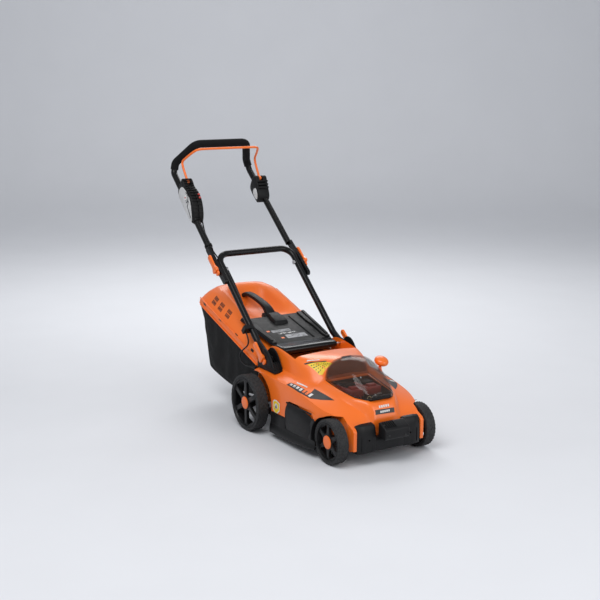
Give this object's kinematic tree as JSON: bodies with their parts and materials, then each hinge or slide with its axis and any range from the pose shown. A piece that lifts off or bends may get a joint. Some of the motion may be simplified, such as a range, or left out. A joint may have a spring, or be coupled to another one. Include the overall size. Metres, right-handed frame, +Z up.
{
  "type": "push lawn mower",
  "caption": "Small cordless walk-behind lawn mower with spoked wheels, clear battery lid, rear grass catcher and a two-stage folding handle.",
  "frame": {"origin": "bottom centre of the mower's bounding box, on the ground under the mid-plane", "axes": "+X forward towards the front bumper, +Y to the mower's left, +Z up"},
  "size_m": [1.2958, 0.494, 0.9845],
  "materials": {
    "cover_orange": "injection moulded, semi-gloss orange",
    "deck_black": "moulded black polypropylene, fine grain",
    "trim_black": "black moulded trim, satin",
    "tyre_black": "hard ribbed tyre tread",
    "rim_black": "moulded spoked rim with orange cap",
    "axle_steel": "zinc plated steel",
    "blade_steel": "black coated steel with ground edge",
    "smoke_clear": "clear smoked polycarbonate",
    "battery_shell": "red and black battery housing",
    "wire": "insulated wires",
    "electronics": "potted controller box",
    "motor": "motor can",
    "bag_fabric": "coated woven polyester",
    "catcher_orange": "moulded orange, satin",
    "tube_black": "black powder coat",
    "foam": "foam grip sleeve",
    "control_black": "textured black housing",
    "bail_orange": "orange coated wire",
    "lever_orange": "moulded orange lever",
    "button_red": "push button",
    "cable_black": "PVC sheathed cable"
  },
  "bodies": {
    "deck": {"deck_shell": "deck_black", "top_cover": "cover_orange", "front_bumper": "trim_black", "nose_box": "trim_black", "side_skirt_left": "deck_black", "side_skirt_right": "deck_black", "battery_tray": "trim_black", "motor_can": "motor", "motor_mount": "axle_steel", "controller_box": "electronics", "wiring_loom": "wire", "axle_clamps": "deck_black", "height_quadrant": "trim_black", "handle_bracket_left": "trim_black", "handle_bracket_right": "trim_black", "flap_hinge_rod": "axle_steel", "cable_gland": "cable_black", "control_cable_loop": "cable_black"},
    "front_axle": {"front_axle": "axle_steel"},
    "rear_axle": {"rear_axle": "axle_steel"},
    "height_lever": {"height_lever": "lever_orange"},
    "tie_rod": {"tie_rod": "axle_steel"},
    "front_left_wheel": {"front_left_tyre": "tyre_black", "front_left_rim": "rim_black"},
    "front_right_wheel": {"front_right_tyre": "tyre_black", "front_right_rim": "rim_black"},
    "rear_left_wheel": {"rear_left_tyre": "tyre_black", "rear_left_rim": "rim_black"},
    "rear_right_wheel": {"rear_right_tyre": "tyre_black", "rear_right_rim": "rim_black"},
    "cutter": {"motor_spindle": "axle_steel", "blade_adapter": "trim_black", "blade": "blade_steel", "blade_bolt": "axle_steel"},
    "battery_lid": {"battery_lid": "smoke_clear"},
    "battery_left": {"battery_pack_left": "battery_shell"},
    "battery_right": {"battery_pack_right": "battery_shell"},
    "rear_flap": {"rear_flap": "trim_black"},
    "discharge_cover": {"discharge_cover": "deck_black"},
    "grass_catcher": {"catcher_lid": "catcher_orange", "catcher_bag": "bag_fabric", "catcher_frame": "trim_black", "catcher_handle": "trim_black"},
    "lower_handle": {"lower_handle_tube": "tube_black", "control_cable_lower": "cable_black", "cable_clamp": "trim_black", "upper_pivot_bolts": "axle_steel"},
    "upper_handle": {"upper_handle_tube": "tube_black", "foam_grip": "foam", "switch_box_inner": "control_black", "switch_box_outer": "control_black", "pivot_box": "control_black", "control_cable_upper": "cable_black", "cable_clips": "trim_black"},
    "bail": {"bail_bar": "bail_orange"},
    "safety_button": {"safety_button": "button_red"},
    "lower_cam_left": {"lower_cam_left": "lever_orange"},
    "lower_cam_right": {"lower_cam_right": "lever_orange"},
    "upper_cam_left": {"upper_cam_left": "lever_orange"},
    "upper_cam_right": {"upper_cam_right": "lever_orange"}
  },
  "joints": [
    {"name": "rear_axle_swing", "type": "hinge", "parent": "deck", "child": "rear_axle", "pos_m": [0.04219, 0, 0.0825], "axis": [0, 1, 0], "range_deg": [0, 60]},
    {"name": "front_axle_swing", "type": "hinge", "parent": "deck", "child": "front_axle", "pos_m": [0.49419, 0, 0.0575], "axis": [0, 1, 0], "range_deg": [0, 60]},
    {"name": "height_lever_swing", "type": "hinge", "parent": "deck", "child": "height_lever", "pos_m": [0.2895, 0, 0.0688], "axis": [0, 1, 0], "range_deg": [0, 60]},
    {"name": "tie_rod_pivot", "type": "hinge", "parent": "height_lever", "child": "tie_rod", "pos_m": [0.2755, 0, 0.09305], "axis": [0, 1, 0], "range_deg": [-60, 0]},
    {"name": "front_left_wheel_spin", "type": "hinge", "parent": "front_axle", "child": "front_left_wheel", "pos_m": [0.5245, 0.175, 0.075], "axis": [0, 1, 0], "continuous": true},
    {"name": "front_right_wheel_spin", "type": "hinge", "parent": "front_axle", "child": "front_right_wheel", "pos_m": [0.5245, -0.175, 0.075], "axis": [0, 1, 0], "continuous": true},
    {"name": "rear_left_wheel_spin", "type": "hinge", "parent": "rear_axle", "child": "rear_left_wheel", "pos_m": [0.0725, 0.225, 0.1], "axis": [0, 1, 0], "continuous": true},
    {"name": "rear_right_wheel_spin", "type": "hinge", "parent": "rear_axle", "child": "rear_right_wheel", "pos_m": [0.0725, -0.225, 0.1], "axis": [0, 1, 0], "continuous": true},
    {"name": "blade_spin", "type": "hinge", "parent": "deck", "child": "cutter", "pos_m": [0.2945, 0, 0.08], "axis": [0, 0, 1], "continuous": true},
    {"name": "battery_lid_open", "type": "hinge", "parent": "deck", "child": "battery_lid", "pos_m": [0.3475, 0, 0.294], "axis": [0, 1, 0], "range_deg": [-75, 0]},
    {"name": "battery_left_lift", "type": "slide", "parent": "deck", "child": "battery_left", "axis": [0, 0, 1], "range_m": [0, 0.012]},
    {"name": "battery_right_lift", "type": "slide", "parent": "deck", "child": "battery_right", "axis": [0, 0, 1], "range_m": [0, 0.012]},
    {"name": "rear_flap_open", "type": "hinge", "parent": "deck", "child": "rear_flap", "pos_m": [0.1125, 0, 0.278], "axis": [0, -1, 0], "range_deg": [-70, 0], "stiffness_Nm_per_rad": 0.5, "springref_deg": 17.19},
    {"name": "discharge_cover_open", "type": "hinge", "parent": "deck", "child": "discharge_cover", "pos_m": [0.3605, -0.199, 0.1475], "axis": [-1, 0, 0], "range_deg": [0, 80], "stiffness_Nm_per_rad": 0.1, "springref_deg": -17.19},
    {"name": "catcher_lift_off", "type": "slide", "parent": "deck", "child": "grass_catcher", "axis": [-0.9703, 0, 0.2419], "range_m": [0, 0.08]},
    {"name": "lower_handle_fold", "type": "hinge", "parent": "deck", "child": "lower_handle", "pos_m": [0.0945, 0, 0.257], "axis": [0, 1, 0], "range_deg": [0, 125]},
    {"name": "upper_handle_fold", "type": "hinge", "parent": "lower_handle", "child": "upper_handle", "pos_m": [-0.2355, 0, 0.5233], "axis": [0, 1, 0], "range_deg": [-149, 0]},
    {"name": "bail_pull", "type": "hinge", "parent": "upper_handle", "child": "bail", "pos_m": [-0.5255, 0, 0.825], "axis": [0, 1, 0], "range_deg": [-14, 0], "stiffness_Nm_per_rad": 2, "springref_deg": 11.46},
    {"name": "safety_button_press", "type": "slide", "parent": "upper_handle", "child": "safety_button", "axis": [0, 1, 0], "range_m": [0, 0.002], "stiffness_N_per_m": 400, "springref_m": -0.003},
    {"name": "lower_cam_left_flip", "type": "hinge", "parent": "deck", "child": "lower_cam_left", "pos_m": [0.0945, 0.1879, 0.257], "axis": [-0.6494, 0, -0.7604], "range_deg": [0, 90]},
    {"name": "lower_cam_right_flip", "type": "hinge", "parent": "deck", "child": "lower_cam_right", "pos_m": [0.0945, -0.1879, 0.257], "axis": [0.6494, 0, 0.7604], "range_deg": [0, 90]},
    {"name": "upper_cam_left_flip", "type": "hinge", "parent": "lower_handle", "child": "upper_cam_left", "pos_m": [-0.2355, 0.1948, 0.5233], "axis": [-0.6494, 0, -0.7604], "range_deg": [0, 90]},
    {"name": "upper_cam_right_flip", "type": "hinge", "parent": "lower_handle", "child": "upper_cam_right", "pos_m": [-0.2355, -0.1948, 0.5233], "axis": [0.6494, 0, 0.7604], "range_deg": [0, 90]}
  ],
  "couplings": [
    {"joint": "front_axle_swing", "follows": "rear_axle_swing", "ratio": 1},
    {"joint": "height_lever_swing", "follows": "rear_axle_swing", "ratio": 1},
    {"joint": "tie_rod_pivot", "follows": "rear_axle_swing", "ratio": -1},
    {"joint": "upper_handle_fold", "follows": "lower_handle_fold", "ratio": -1.192}
  ]
}
